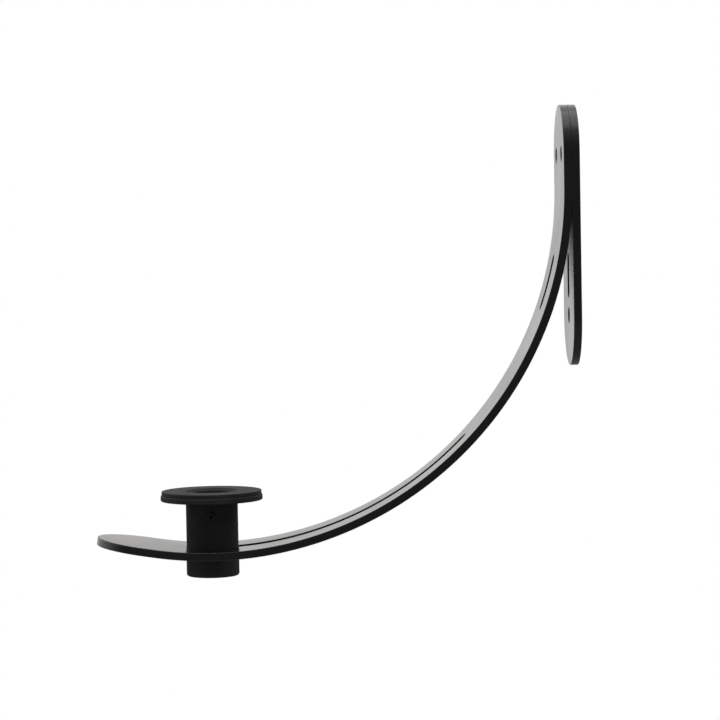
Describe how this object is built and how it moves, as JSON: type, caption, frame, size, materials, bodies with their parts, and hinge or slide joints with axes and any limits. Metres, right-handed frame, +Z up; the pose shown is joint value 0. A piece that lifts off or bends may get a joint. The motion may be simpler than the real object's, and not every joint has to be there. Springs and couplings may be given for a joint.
{
  "type": "wall sconce candle holder",
  "caption": "Wall sconce for one taper candle: a flat bar sweeps out from a wall plate and carries a tube cup with a flange and a loose drip ring.",
  "frame": {"origin": "middle of the wall plate's back face, in the plane of the wall", "axes": "+Z up, along the candle; +Y into the wall; -Y out into the room, towards the cup; +X along the wall, to the right as seen from the room"},
  "size_m": [0.051, 0.2423, 0.232],
  "materials": {
    "lacquered_bar": "smooth semi-gloss black lacquer",
    "cup_black": "fine matt black powder coat",
    "black_oxide": "black oxide on steel"
  },
  "bodies": {
    "sconce": {"back_plate": "lacquered_bar", "arm": "lacquered_bar", "arm_screw_left": "black_oxide", "arm_screw_right": "black_oxide", "cup_tube": "cup_black", "cup_flange": "cup_black", "cup_plug": "cup_black", "base_nut": "cup_black"},
    "drip_ring": {"drip_ring": "cup_black"},
    "clamp_screw": {"clamp_screw": "black_oxide"}
  },
  "joints": [
    {"name": "drip_ring_lift", "type": "slide", "parent": "sconce", "child": "drip_ring", "axis": [0, 0, 1], "range_m": [0, 0.04]},
    {"name": "clamp_screw_advance", "type": "slide", "parent": "sconce", "child": "clamp_screw", "axis": [-1, 0, 0], "range_m": [0, 0.0015]}
  ]
}
